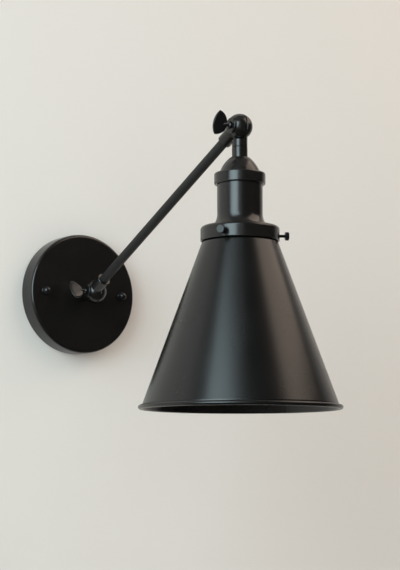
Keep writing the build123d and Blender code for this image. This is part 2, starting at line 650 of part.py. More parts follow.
def head_parts():
    """Everything that tilts on the upper knuckle."""
    pieces = {
        "top_knuckle_lamp_half": stem_half(NECK_DROP),
        "top_friction_washer": friction_washer(),
        "top_thumb_key": thumb_key(TOP_KEY_TURN),
        "neck_coupling": neck_coupling(),
        "neck_nipple": neck_nipple(),
        "neck_lock_nut": neck_lock_nut(),
        "socket_cap": socket_cap(),
        "socket_ring": socket_ring(),
        "socket_sleeve": socket_sleeve(),
        "socket_insulator": socket_insulator(),
        "screw_shell": screw_shell(),
        "centre_contact": centre_contact(),
        "terminal_screws": terminal_screws(),
        "shade_holder": shade_holder(),
        "holder_ring": holder_ring(),
        "shade": shade(),
    }
    for number, turn in enumerate(screw_turns(), start=1):
        pieces[f"shade_screw_{number}"] = turn * shade_screw()
    return {name: HEAD_PLACE * piece for name, piece in pieces.items()}


os.makedirs("parts", exist_ok=True)
for node, piece in {**wall_parts(), **arm_parts(), **head_parts()}.items():
    export_step(piece, f"parts/{node}.step")
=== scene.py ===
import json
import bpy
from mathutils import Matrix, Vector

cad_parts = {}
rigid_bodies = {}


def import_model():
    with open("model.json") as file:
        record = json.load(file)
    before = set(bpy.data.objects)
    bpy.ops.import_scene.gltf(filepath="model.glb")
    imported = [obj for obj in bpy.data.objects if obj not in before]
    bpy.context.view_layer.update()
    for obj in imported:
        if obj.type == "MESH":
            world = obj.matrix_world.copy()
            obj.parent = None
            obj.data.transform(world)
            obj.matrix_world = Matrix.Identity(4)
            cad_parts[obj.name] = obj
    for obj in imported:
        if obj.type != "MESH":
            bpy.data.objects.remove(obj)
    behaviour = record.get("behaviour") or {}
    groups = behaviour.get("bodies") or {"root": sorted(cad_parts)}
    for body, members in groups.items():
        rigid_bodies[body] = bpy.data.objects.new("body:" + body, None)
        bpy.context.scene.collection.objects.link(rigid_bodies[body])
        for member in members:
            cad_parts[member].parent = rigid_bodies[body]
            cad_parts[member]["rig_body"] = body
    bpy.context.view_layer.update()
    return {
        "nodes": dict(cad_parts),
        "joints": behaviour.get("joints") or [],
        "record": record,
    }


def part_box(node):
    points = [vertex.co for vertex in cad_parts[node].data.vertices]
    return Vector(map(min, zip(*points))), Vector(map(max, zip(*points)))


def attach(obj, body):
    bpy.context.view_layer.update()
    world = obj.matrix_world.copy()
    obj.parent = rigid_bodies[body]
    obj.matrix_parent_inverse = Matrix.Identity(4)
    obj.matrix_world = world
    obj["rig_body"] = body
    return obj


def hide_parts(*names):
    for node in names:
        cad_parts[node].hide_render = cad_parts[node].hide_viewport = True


bl_info = {
    "name": "Adjustable Wall Lamp",
    "version": (1, 0, 0),
    "blender": (4, 5, 0),
    "location": "View3D > Sidebar > Wall Lamp",
    "description": "Dresses a wall lamp with a cone shade and split-ball knuckles",
    "category": "Object",
}

from math import asin, atan2, cos, degrees, radians, sin, tan, tau

import bmesh
import bpy
from mathutils import Matrix, Vector

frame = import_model()
MM = 0.001
JOINTS = {joint["name"]: joint for joint in frame["joints"]}
BASE = Vector(JOINTS["base_hinge"]["pos_m"])
HEAD = Vector(JOINTS["head_hinge"]["pos_m"])
OUT_FROM_WALL = Matrix.Rotation(radians(90), 4, "X")  # turns +Z to point along -Y
FLOOR_Z = -0.9
LAMP_MIDDLE = Vector((0, -0.25, 0))  # what the soft boxes face


def half_width(node):
    """Half of a node's size along X, which is the radius of a turned piece."""
    low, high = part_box(node)
    return (high.x - low.x) / 2


# ------------------------------------------------------------------- properties
class LampSizes(bpy.types.PropertyGroup):
    """Sizes of the pieces that are made here."""

    shade_wall: bpy.props.FloatProperty(
        name="Shade wall",
        description="Thickness of the spun steel",
        default=0.8 * MM,
        unit="LENGTH",
    )
    shade_bend: bpy.props.FloatProperty(
        name="Shade bend",
        description="Outer radius at the shoulder",
        default=1.2 * MM,
        unit="LENGTH",
    )
    rim_bead: bpy.props.FloatProperty(
        name="Rim bead",
        description="Radius of the rolled rim",
        default=2.0 * MM,
        unit="LENGTH",
    )
    sleeve_radius: bpy.props.FloatProperty(
        name="Sleeve radius",
        description="Outside of the socket's shell",
        default=20.1 * MM,
        unit="LENGTH",
    )
    flare_height: bpy.props.FloatProperty(
        name="Flare height",
        description="Rise of the sleeve's flared foot",
        default=11.0 * MM,
        unit="LENGTH",
    )
    flare_reach: bpy.props.FloatProperty(
        name="Flare reach",
        description="How far the foot spreads outwards",
        default=4.7 * MM,
        unit="LENGTH",
    )
    leaf_width: bpy.props.FloatProperty(
        name="Leaf width",
        description="Key leaf, along the shank",
        default=14.4 * MM,
        unit="LENGTH",
    )
    leaf_tip: bpy.props.FloatProperty(
        name="Leaf tip",
        description="Shank's axis to the pointed end",
        default=11.7 * MM,
        unit="LENGTH",
    )
    leaf_heel: bpy.props.FloatProperty(
        name="Leaf heel",
        description="Shank's axis to the blunt end",
        default=9.7 * MM,
        unit="LENGTH",
    )
    leaf_thickness: bpy.props.FloatProperty(
        name="Leaf thickness",
        description="At the middle",
        default=2.2 * MM,
        unit="LENGTH",
    )
    fine_pitch: bpy.props.FloatProperty(
        name="Fine pitch",
        description="Pitch of the small screws",
        default=0.7 * MM,
        unit="LENGTH",
    )
    pipe_pitch: bpy.props.FloatProperty(
        name="Pipe pitch",
        description="Pitch of the threaded tubes",
        default=1.41 * MM,
        unit="LENGTH",
    )
    lamp_pitch: bpy.props.FloatProperty(
        name="Lamp pitch",
        description="Pitch of the screw shell",
        default=3.63 * MM,
        unit="LENGTH",
    )
    flutes: bpy.props.IntProperty(
        name="Flutes",
        description="Grooves round a shade screw's head",
        default=36,
        min=12,
        max=72,
    )


class LampColours(bpy.types.PropertyGroup):
    """Colours of the lamp's finishes, as sRGB hex values."""

    powder_coat: bpy.props.StringProperty(
        name="Powder coat",
        description="Satin black coat on steel",
        default="#11100F",
    )
    enamel: bpy.props.StringProperty(
        name="Enamel",
        description="Stoved black enamel on the shade",
        default="#0B0B0B",
    )
    arm_coat: bpy.props.StringProperty(
        name="Arm coat",
        description="Matt black coat on the arm's tube",
        default="#0B0B0B",
    )
    lacquer: bpy.props.StringProperty(
        name="Lacquer",
        description="Black lacquer on cast zinc",
        default="#0F0F10",
    )
    zinc: bpy.props.StringProperty(
        name="Zinc plate",
        description="Plated steel behind the plate",
        default="#B9BCBF",
    )
    brass: bpy.props.StringProperty(
        name="Brass",
        description="Pressed brass in the socket",
        default="#D0A960",
    )
    phenolic: bpy.props.StringProperty(
        name="Phenolic",
        description="Moulded body of the socket",
        default="#1A1716",
    )
    nylon: bpy.props.StringProperty(
        name="Nylon",
        description="Washers in the knuckles",
        default="#1B1B1C",
    )
    earth_green: bpy.props.StringProperty(
        name="Earth green",
        description="Dye on the earth screw",
        default="#1F6A3C",
    )


# -------------------------------------------------------------------- materials
def linear(hex_colour):
    """Turns an sRGB hex colour into the linear colour that shaders use."""
    parts = [int(hex_colour[i : i + 2], 16) / 255 for i in (1, 3, 5)]
    curve = [c / 12.92 if c <= 0.04045 else ((c + 0.055) / 1.055) ** 2.4 for c in parts]
    return (*curve, 1.0)


def add(tree, kind, inputs=None, **settings):
    """Adds a node; inputs maps a socket to a value, or to the output that feeds it."""
    made = tree.nodes.new(kind)
    for name, value in settings.items():
        setattr(made, name, value)
    for name, value in (inputs or {}).items():
        if isinstance(value, bpy.types.NodeSocket):
            tree.links.new(value, made.inputs[name])
        else:
            made.inputs[name].default_value = value
    return made


def new_material(name):
    """Empty node material, with the place on the object as its coordinates."""
    material = bpy.data.materials.new(name)
    material.use_nodes = True
    tree = material.node_tree
    tree.nodes.clear()
    return material, tree, add(tree, "ShaderNodeTexCoord").outputs["Object"]


def baked_coat(name, colour, worn, roughness, peel_mm):
    """Powder or lacquer baked on metal: its orange peel softens the edges of highlights."""
    material, tree, place = new_material(name)
    # Shallow bumps, peel_mm across, where the coat flowed out before it set.
    peel = add(
        tree,
        "ShaderNodeTexNoise",
        {"Vector": place, "Scale": 1 / (peel_mm * MM), "Detail": 2.0},
    )
    bump = add(
        tree,
        "ShaderNodeBump",
        {"Height": peel.outputs["Fac"], "Strength": 0.1, "Distance": 0.04 * MM},
    )
    # Handling leaves cloudy patches about 22 mm across, a little duller and paler.
    cloud = add(
        tree,
        "ShaderNodeTexNoise",
        {"Vector": place, "Scale": 1 / (22 * MM), "Detail": 4.0},
    )
    dull = add(
        tree,
        "ShaderNodeMapRange",
        {"Value": cloud.outputs["Fac"], "To Min": roughness - 0.05, "To Max": roughness + 0.06},
    )
    tint = add(
        tree,
        "ShaderNodeMix",
        {"Factor": cloud.outputs["Fac"], "A": linear(colour), "B": linear(worn)},
        data_type="RGBA",
    )
    shader = add(
        tree,
        "ShaderNodeBsdfPrincipled",
        {
            "Base Color": tint.outputs["Result"],
            "Roughness": dull.outputs["Result"],
            "Normal": bump.outputs["Normal"],
            "IOR": 1.5,
        },
    )
    add(tree, "ShaderNodeOutputMaterial", {"Surface": shader.outputs["BSDF"]})
    return material


def spun_enamel(name, colour, worn, roughness):
    """Stoved enamel over spun steel: the spinning tool's rings show through it faintly."""
    material, tree, place = new_material(name)
    # The tool leaves rings under 1 mm apart. They are drawn 2.17 mm apart, so that they show.
    # At a scale of 1 the texture's wave repeats every tau / 20.
    ring_spacing = 2.17 * MM
    rings = add(
        tree,
        "ShaderNodeTexWave",
        {
            "Vector": place,
            "Scale": tau / 20 / ring_spacing,
            "Distortion": 0.6,
            "Detail": 2.0,
            "Detail Scale": 0.4,
        },
        wave_type="BANDS",
        bands_direction="Z",
    )
    # The enamel's own peel, about 1.6 mm across, breaks the rings up.
    peel = add(
        tree,
        "ShaderNodeTexNoise",
        {"Vector": place, "Scale": 1 / (1.6 * MM), "Detail": 2.0},
    )
    relief = add(
        tree,
        "ShaderNodeMix",
        {"Factor": 0.6, "A": rings.outputs["Fac"], "B": peel.outputs["Fac"]},
    )
    bump = add(
        tree,
        "ShaderNodeBump",
        {"Height": relief.outputs["Result"], "Strength": 0.06, "Distance": 0.015 * MM},
    )
    # Patches about 30 mm across, a little duller and paler, where the enamel set unevenly.
    cloud = add(
        tree,
        "ShaderNodeTexNoise",
        {"Vector": place, "Scale": 1 / (30 * MM), "Detail": 4.0},
    )
    dull = add(
        tree,
        "ShaderNodeMapRange",
        {"Value": cloud.outputs["Fac"], "To Min": roughness - 0.04, "To Max": roughness + 0.05},
    )
    tint = add(
        tree,
        "ShaderNodeMix",
        {"Factor": cloud.outputs["Fac"], "A": linear(colour), "B": linear(worn)},
        data_type="RGBA",
    )
    shader = add(
        tree,
        "ShaderNodeBsdfPrincipled",
        {
            "Base Color": tint.outputs["Result"],
            "Roughness": dull.outputs["Result"],
            "Normal": bump.outputs["Normal"],
            "IOR": 1.5,
        },
    )
    add(tree, "ShaderNodeOutputMaterial", {"Surface": shader.outputs["BSDF"]})
    return material


def bare_metal(name, colour, stain, roughness, grain_mm):
    """Plated or pressed metal: fine drawing marks, and a slight stain in patches."""
    material, tree, place = new_material(name)
    # The marks lie level, grain_mm long and a tenth as high.
    stretched = add(tree, "ShaderNodeMapping", {"Vector": place, "Scale": (1.0, 1.0, 10.0)})
    grain = add(
        tree,
        "ShaderNodeTexNoise",
        {"Vector": stretched.outputs["Vector"], "Scale": 1 / (grain_mm * MM), "Detail": 4.0},
    )
    bump = add(
        tree,
        "ShaderNodeBump",
        {"Height": grain.outputs["Fac"], "Strength": 0.12, "Distance": 0.03 * MM},
    )
    dull = add(
        tree,
        "ShaderNodeMapRange",
        {"Value": grain.outputs["Fac"], "To Min": roughness - 0.08, "To Max": roughness + 0.12},
    )
    # Stains about 9 mm across, where hands have touched the metal.
    patch = add(
        tree,
        "ShaderNodeTexNoise",
        {"Vector": place, "Scale": 1 / (9 * MM), "Detail": 3.0},
    )
    tint = add(
        tree,
        "ShaderNodeMix",
        {"Factor": patch.outputs["Fac"], "A": linear(colour), "B": linear(stain)},
        data_type="RGBA",
    )
    shader = add(
        tree,
        "ShaderNodeBsdfPrincipled",
        {
            "Base Color": tint.outputs["Result"],
            "Roughness": dull.outputs["Result"],
            "Normal": bump.outputs["Normal"],
            "Metallic": 1.0,
        },
    )
    add(tree, "ShaderNodeOutputMaterial", {"Surface": shader.outputs["BSDF"]})
    return material


def moulding(name, colour, streak, roughness, ior):
    """Moulded plastic: flow marks from the gate, in tone and gloss."""
    material, tree, place = new_material(name)
    # Curled streaks about 7 mm wide.
    flow = add(
        tree,
        "ShaderNodeTexNoise",
        {"Vector": place, "Scale": 1 / (7 * MM), "Detail": 3.0, "Distortion": 1.5},
    )
    dull = add(
        tree,
        "ShaderNodeMapRange",
        {"Value": flow.outputs["Fac"], "To Min": roughness - 0.05, "To Max": roughness + 0.08},
    )
    tint = add(
        tree,
        "ShaderNodeMix",
        {"Factor": flow.outputs["Fac"], "A": linear(colour), "B": linear(streak)},
        data_type="RGBA",
    )
    shader = add(
        tree,
        "ShaderNodeBsdfPrincipled",
        {"Base Color": tint.outputs["Result"], "Roughness": dull.outputs["Result"], "IOR": ior},
    )
    add(tree, "ShaderNodeOutputMaterial", {"Surface": shader.outputs["BSDF"]})
    return material


def by_slot(slot):
    """The finish of a material slot of the record, or of the arm, made when first asked for."""
    hues = bpy.context.scene.lamp_colours
    # Recipe, name, colour, second colour, roughness, and then a coat's or a metal's grain
    # in mm, or a plastic's IOR.
    recipes = {
        # Powder in satin mirrors the room softly, and in matt it only spreads a faint sheen.
        "satin_black_steel": (
            baked_coat, "Satin_powder_coat", hues.powder_coat, "#171514", 0.22, 1.4
        ),
        "arm_coat": (baked_coat, "Matt_powder_coat", hues.arm_coat, "#0F0F0E", 0.58, 1.1),
        # Hard enamel draws the soft boxes out into bands down the cone.
        "satin_black_shade": (
            spun_enamel, "Stoved_enamel_on_spun_steel", hues.enamel, "#101010", 0.26
        ),
        # Thin lacquer on smooth castings, with small sharp highlights.
        "black_fittings": (baked_coat, "Lacquered_cast_zinc", hues.lacquer, "#161617", 0.22, 0.9),
        # Bluish grey plating and warm yellow brass, both bright but brushed.
        "zinc_plated_steel": (bare_metal, "Zinc_plated_steel", hues.zinc, "#9C9FA0", 0.36, 1.6),
        "brass": (bare_metal, "Pressed_brass", hues.brass, "#A88240", 0.3, 1.2),
        # A glossy brownish black moulding, and a waxy one of nylon.
        "black_phenolic": (moulding, "Moulded_phenolic", hues.phenolic, "#241F1D", 0.26, 1.6),
        "nylon": (moulding, "Moulded_nylon", hues.nylon, "#232324", 0.5, 1.53),
        # An even green, a little dull, that marks the earth screw.
        "green_screw": (baked_coat, "Green_dyed_steel", hues.earth_green, "#2B7D4A", 0.35, 0.8),
    }
    make, name, *values = recipes[slot]
    return bpy.data.materials.get(name) or make(name, *values)


def slot_of(node):
    """The record's material slot of a CAD node."""
    rows = frame["record"]["subparts"]
    return next(row["material_slot"] for row in rows if row["node"] == node)


# --------------------------------------------------------------- shapes in mesh
def lathe(outline, sides, wave=None):
    """Spins a closed outline of (r, z) round Z; wave(angle, r, z) may change each r."""
    count = len(outline)
    points = []
    for step in range(sides):
        angle = tau * step / sides
        for r, z in outline:
            radius = wave(angle, r, z) if wave else r
            points.append((radius * cos(angle), radius * sin(angle), z))
    faces = []
    for step in range(sides):
        here, there = step * count, (step + 1) % sides * count
        for i in range(count):
            j = (i + 1) % count
            faces.append((here + i, there + i, there + j, here + j))
    return points, faces


def to_mesh(name, shapes, crease=30):
    """One smooth mesh from shapes of (points, faces), creased at its sharp edges."""
    points, faces = [], []
    for more_points, more_faces in shapes:
        start = len(points)
        points += more_points
        faces += [tuple(start + i for i in face) for face in more_faces]
    mesh = bpy.data.meshes.new(name)
    mesh.from_pydata(points, [], faces)
    made = bmesh_clean(mesh)
    made.shade_smooth()
    made.set_sharp_from_angle(angle=radians(crease))
    return made


def bmesh_clean(mesh):
    """Merges the points on a lathe's axis and turns every face outwards."""
    work = bmesh.new()
    work.from_mesh(mesh)
    bmesh.ops.remove_doubles(work, verts=work.verts, dist=0.001 * MM)
    bmesh.ops.recalc_face_normals(work, faces=work.faces)
    work.to_mesh(mesh)
    work.free()
    return mesh


def arc(centre, radius, start, end, steps):
    """Points along an arc, from one angle to another in degrees."""
    turn = [radians(start + (end - start) * i / steps) for i in range(steps + 1)]
    return [(centre[0] + radius * cos(a), centre[1] + radius * sin(a)) for a in turn]


def rounded(points, radius, steps=6):
    """An open path with its inner corners turned into arcs of one radius."""
    path = [Vector(points[0])]
    for before, corner, after in zip(points, points[1:], points[2:]):
        back = (Vector(before) - Vector(corner)).normalized()
        on = (Vector(after) - Vector(corner)).normalized()
        half = back.angle(on) / 2
        reach = radius / tan(half)
        middle = Vector(corner) + (back + on).normalized() * (radius / sin(half))
        first, last = Vector(corner) + back * reach, Vector(corner) + on * reach
        spokes = (first - middle).normalized(), (last - middle).normalized()
        path += [middle + spokes[0].slerp(spokes[1], i / steps) * radius for i in range(steps + 1)]
    path.append(Vector(points[-1]))
    return path


def place_piece(name, mesh, node, matrix):
    """Puts a made piece in place of a CAD node, on the node's own body."""
    made = bpy.data.objects.new(name, mesh)
    bpy.context.scene.collection.objects.link(made)
    made.matrix_world = matrix
    slot = slot_of(node)
    mesh.materials.append(by_slot(slot))
    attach(made, frame["nodes"][node]["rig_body"])
    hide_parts(node)
    return made


def thread(radius, depth, pitch, low, high):
    """Outline points (r, z) up a thread and the wave that winds it into a helix."""
    per_turn = 6
    steps = max(8, round((high - low) / pitch * per_turn))
    rows = [(radius, low + (high - low) * i / steps) for i in range(steps + 1)]

    def wave(angle, r, z):
        if abs(r - radius) > 1e-7 or z < low + pitch / 2 or z > high - pitch / 2:
            return r
        turn = (z / pitch - angle / tau) % 1
        return r - depth * abs(2 * turn - 1)

    return rows, wave


# ----------------------------------------------------------------------- pieces
class LAMP_OT_finishes(bpy.types.Operator):
    """Give every piece of the frame the finish of its material slot"""

    bl_idname = "lamp.finishes"
    bl_label = "Finishes"

    def execute(self, context):
        for node, thing in frame["nodes"].items():
            thing.data.materials.clear()
            # The tube's coat is duller than the coat of the turned and pressed pieces.
            slot = "arm_coat" if node == "arm_tube" else slot_of(node)
            thing.data.materials.append(by_slot(slot))
        return {"FINISHED"}


class LAMP_OT_shade(bpy.types.Operator):
    """Spin the cone shade with its lipped neck and its rim rolled outwards"""

    bl_idname = "lamp.shade"
    bl_label = "Shade"

    def execute(self, context):
        size = context.scene.lamp_sizes
        low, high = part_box("shade")
        holder = half_width("shade_holder")
        bead, wall = size.rim_bead, size.shade_wall
        # The shoulder hangs a seam below the holder, and the bead a hair inside the CAD's rim.
        seam, spare = 0.7 * MM, 0.03 * MM
        neck, lip, shoulder = holder - 3.5 * MM, holder - 2.2 * MM, holder - 1.4 * MM
        shoulder_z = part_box("shade_holder")[0].z - seam
        rim, rim_z = high.x - bead - spare, low.z + bead
        corner = (rim - bead / 2, rim_z + bead / 2)
        path = rounded(
            [(lip, high.z), (neck, high.z), (neck, shoulder_z), (shoulder, shoulder_z), corner],
            size.shade_bend,
        )
        slope = (Vector(corner) - path[-2]).normalized()
        inward = Vector((slope.y, -slope.x))
        crease = Vector(corner) - slope * 0.75 * bead
        # Rings near both ends of the long cone keep its smooth shading straight.
        rings, near_end = 16, 0.1
        places = (near_end, *range(1, rings), rings - near_end)
        path[-1:] = [path[-2].lerp(crease, i / rings) for i in places] + [crease]
        # A small groove parts the cone from the bead, which rolls outwards and under.
        groove_depth, groove_width = 0.35 * wall, 0.5 * MM
        outer = path + [crease + inward * groove_depth + slope * groove_width]
        over, under = 112, -168  # degrees round the bead
        roll = arc((rim, rim_z), bead, over, under, 28)
        inner = []
        for before, point, after in zip(path, path[1:], path[2:]):
            along = (after - before).normalized()
            inner.append(point + Vector((along.y, -along.x)) * wall)
        first = (path[1] - path[0]).normalized()
        inner.insert(0, path[0] + Vector((first.y, -first.x)) * wall)
        outline = [(p[0], p[1]) for p in outer] + roll + [(p[0], p[1]) for p in reversed(inner)]
        centre = Matrix.Translation((HEAD.x, HEAD.y, 0))
        mesh = to_mesh("spun_shade", [lathe(outline, 256)])
        place_piece("spun_shade", mesh, "shade", centre)
        return {"FINISHED"}


class LAMP_OT_sleeve(bpy.types.Operator):
    """Spin the socket's outer shell, with the hollow curve of its flared foot"""

    bl_idname = "lamp.sleeve"
    bl_label = "Sleeve"

    def execute(self, context):
        size = context.scene.lamp_sizes
        top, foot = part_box("socket_sleeve")[1].z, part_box("shade_holder")[1].z
        tube, wall = size.sleeve_radius, 1.0 * MM
        height, reach = size.flare_height, size.flare_reach
        # The foot is an arc that leaves the tube upright. Its inside stops short of the holder.
        bend = (height**2 + reach**2) / (2 * reach)
        sweep, short = degrees(asin(height / bend)), 6
        middle = (tube + bend, foot + height)
        outer = arc(middle, bend, 180, 180 + sweep, 20)
        inner = arc(middle, bend + wall, 180, 180 + sweep - short, 20)
        outline = [(tube, top), *outer, (inner[-1][0], foot), *inner[::-1], (tube - wall, top)]
        mesh = to_mesh("flared_sleeve", [lathe(outline, 128)])
        centre = Matrix.Translation((HEAD.x, HEAD.y, 0))
        place_piece("flared_sleeve", mesh, "socket_sleeve", centre)
        return {"FINISHED"}


class LAMP_OT_thumb_keys(bpy.types.Operator):
    """Cast the two leaf thumb keys, softened at their edges, with threaded shanks"""

    bl_idname = "lamp.thumb_keys"
    bl_label = "Thumb keys"

    def leaf(self, size):
        """Pointed oval with flat faces and soft edges, in the plane of the shank."""
        near = 14.4 * MM  # from the middle of the ball
        wide, tip, heel = size.leaf_width, size.leaf_tip, size.leaf_heel
        # Places as shares of the leaf's width and of its reach each way from the shank's axis.
        ends = [
            (near + 0.66 * wide, tip),
            (near + 0.12 * wide, 0.52 * tip),
            (near + 0.06 * wide, -0.5 * heel),
            (near + 0.38 * wide, -0.88 * heel),
            (near + 0.78 * wide, -heel),
            (near + wide, 0.16 * tip),
            (near + 0.66 * wide, tip),
        ]
        rim = []
        for start, middle, end in (ends[0:3], ends[2:5], ends[4:7]):
            rim += three_point_arc(start, middle, end, 14)[:-1]
        centre = Vector((near + 0.5 * wide, 0.1 * tip))
        thick = size.leaf_thickness / 2
        # Shares of the outline and of the half thickness, from the edge to the flat face.
        levels = [(1.0, 0.35), (0.985, 0.68), (0.95, 0.9), (0.9, 0.98), (0.5, 1.0), (0.02, 1.0)]
        loops = [(s, -t) for s, t in reversed(levels)] + levels
        points, count = [], len(rim)
        for scale, lift in loops:
            for point in rim:
                flat = centre + (Vector(point) - centre) * scale
                points.append((flat.y, lift * thick, flat.x))
        faces = [tuple(range(count)), tuple(range(len(points) - count, len(points)))]
        for row in range(len(loops) - 1):
            for i in range(count):
                j = (i + 1) % count
                a, b = row * count, (row + 1) * count
                faces.append((a + i, a + j, b + j, b + i))
        return points, faces

    def shank(self, size):
        """Threaded end, plain shoulder, and a neck that swells into the leaf."""
        tip, seat = -9.5 * MM, 9.6 * MM  # from the middle of the ball
        radius, depth, chamfer = 2.0 * MM, 0.3 * MM, 0.4 * MM
        rows, wave = thread(radius, depth, size.fine_pitch, tip + chamfer, seat)
        outline = [(0, tip), (radius - chamfer, tip)] + rows
        # Radius and height over the seat, in mm.
        shoulder = [(2.9, 0), (2.9, 2.6), (2.5, 3.0)]
        neck = [(1.8, 3.3), (1.7, 4.4), (1.9, 5.4), (1.5, 8.4), (0, 9.6)]
        outline += [(r * MM, seat + z * MM) for r, z in shoulder + neck]
        return lathe(outline, 40, wave)

    def execute(self, context):
        size = context.scene.lamp_sizes
        # Each key's centre, and how far it has been tightened, in degrees.
        turned = {"base_thumb_key": (BASE, -35.0), "top_thumb_key": (HEAD, 18.0)}
        for node, (centre, turn) in turned.items():
            mesh = to_mesh(f"cast_{node}", [self.leaf(size), self.shank(size)], 35)
            # Turns the shank from +Z to -X, the side that the keys stand on.
            lay = Matrix(((0, 0, -1, 0), (0, 1, 0, 0), (1, 0, 0, 0), (0, 0, 0, 1)))
            mesh.transform(Matrix.Rotation(radians(turn), 4, "X") @ lay)
            place_piece(f"cast_{node}", mesh, node, Matrix.Translation(centre))
        return {"FINISHED"}


def three_point_arc(start, middle, end, steps):
    """Points along the circle through three points."""
    ax, ay, bx, by, cx, cy = *start, *middle, *end
    d = 2 * (ax * (by - cy) + bx * (cy - ay) + cx * (ay - by))
    a2, b2, c2 = ax * ax + ay * ay, bx * bx + by * by, cx * cx + cy * cy
    x = (a2 * (by - cy) + b2 * (cy - ay) + c2 * (ay - by)) / d
    y = (a2 * (cx - bx) + b2 * (ax - cx) + c2 * (bx - ax)) / d
    turns = [atan2(p[1] - y, p[0] - x) for p in (start, middle, end)]
    sweep = (turns[2] - turns[0]) % tau
    if (turns[1] - turns[0]) % tau > sweep:
        sweep -= tau
    radius = (Vector(start) - Vector((x, y))).length
    angles = [turns[0] + sweep * i / steps for i in range(steps + 1)]
    return [(x + radius * cos(a), y + radius * sin(a)) for a in angles]


class LAMP_OT_shade_screws(bpy.types.Operator):
    """Turn the three shade screws, with fluted heads and threaded shanks"""

    bl_idname = "lamp.shade_screws"
    bl_label = "Shade screws"

    def execute(self, context):
        size = context.scene.lamp_sizes
        holder = half_width("shade_holder")
        tip, back = holder - 3.2 * MM, holder + 5.0 * MM
        front = back + 3.5 * MM
        head, edge, flute = 3.7 * MM, 0.4 * MM, 0.12 * MM
        shank, depth, pitch, chamfer = 1.45 * MM, 0.22 * MM, 0.6 * MM, 0.3 * MM
        rows, wave = thread(shank, depth, pitch, tip + chamfer, back)

        def fluted(angle, r, z):
            if abs(r - head) < 1e-7:
                return r - flute * (0.5 + 0.5 * cos(size.flutes * angle))
            return wave(angle, r, z)

        outline = [(0, tip), (shank - chamfer, tip)] + rows
        outline += [(head - edge, back), (head, back + edge), (head, front - edge)]
        outline += [(head - edge, front), (0, front)]
        low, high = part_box("shade_screw_1")
        # The first screw faces the wall, and the others stand a third of a turn to each side.
        for number, angle in enumerate((90, 210, 330), start=1):
            mesh = to_mesh(f"fluted_screw_{number}", [lathe(outline, size.flutes * 6, fluted)])
            place = Matrix.Translation((HEAD.x, HEAD.y, (low.z + high.z) / 2))
            aim = Matrix.Rotation(radians(angle), 4, "Z") @ Matrix.Rotation(radians(90), 4, "Y")
            place_piece(f"fluted_screw_{number}", mesh, f"shade_screw_{number}", place @ aim)
        return {"FINISHED"}


class LAMP_OT_cap_nuts(bpy.types.Operator):
    """Form the two domed cap nuts, each with a thin flange at its foot"""

    bl_idname = "lamp.cap_nuts"
    bl_label = "Cap nuts"

    def execute(self, context):
        low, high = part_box("cap_nuts")
        flange, flange_top, edge = 4.2 * MM, 0.8 * MM, 0.2 * MM
        step, skirt = 0.25 * MM, 2.4 * MM
        body = flange - step
        bore, bore_end = 2.1 * MM, 4.7 * MM
        outline = [(bore, 0), (flange - edge, 0), (flange, edge), (flange, flange_top)]
        outline += [(body, flange_top + step), (body, skirt)]
        outline += [(x * body, skirt + y * flange) for x, y in arc((0, 0), 1.0, 0, 90, 16)]
        outline += [(0, bore_end), (bore, bore_end)]
        left = Matrix.Translation((low.x + flange, 0, 0))
        right = Matrix.Translation((high.x - flange, 0, 0))
        shapes = []
        for side in (left, right):
            points, faces = lathe(outline, 72)
            stand = side @ OUT_FROM_WALL @ Matrix.Translation((0, 0, -high.y))
            shapes.append(([tuple(stand @ Vector(p)) for p in points], faces))
        mesh = to_mesh("domed_cap_nuts", shapes)
        place_piece("domed_cap_nuts", mesh, "cap_nuts", Matrix.Identity(4))
        return {"FINISHED"}


class LAMP_OT_threads(bpy.types.Operator):
    """Cut the threads of the two studs and of the two tubes that pass the wires"""

    bl_idname = "lamp.threads"
    bl_label = "Threaded pieces"

    def execute(self, context):
        size = context.scene.lamp_sizes
        low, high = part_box("strap_studs")
        stud, depth, chamfer, length = 2.05 * MM, 0.3 * MM, 0.4 * MM, -low.y
        rows, wave = thread(stud, depth, size.fine_pitch, depth, length - chamfer)
        outline = [(0, 0), (stud - depth, 0)] + rows + [(stud - chamfer, length), (0, length)]
        shapes = []
        for x in (low.x + stud, high.x - stud):
            points, faces = lathe(outline, 40, wave)
            stand = Matrix.Translation((x, 0, 0)) @ OUT_FROM_WALL
            shapes.append(([tuple(stand @ Vector(p)) for p in points], faces))
        mesh = to_mesh("threaded_studs", shapes)
        place_piece("threaded_studs", mesh, "strap_studs", Matrix.Identity(4))
        far, near = (corner.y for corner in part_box("base_nipple"))
        self.pipe("base_nipple", OUT_FROM_WALL, -near, -far)
        foot, top = (corner.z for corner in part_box("neck_nipple"))
        self.pipe("neck_nipple", Matrix.Translation((HEAD.x, HEAD.y, 0)), foot, top)
        return {"FINISHED"}

    def pipe(self, node, stand, low, high):
        """Threaded tube between two heights."""
        pitch = bpy.context.scene.lamp_sizes.pipe_pitch
        outer, bore = half_width(node), 3.6 * MM
        depth, chamfer, plain = 0.55 * MM, 0.5 * MM, 0.4 * MM
        rows, wave = thread(outer, depth, pitch, low + plain, high - plain)
        outline = [(bore, low), (outer - chamfer, low)] + rows
        outline += [(outer - chamfer, high), (bore, high)]
        mesh = to_mesh(f"threaded_{node}", [lathe(outline, 64, wave)])
        place_piece(f"threaded_{node}", mesh, node, stand)


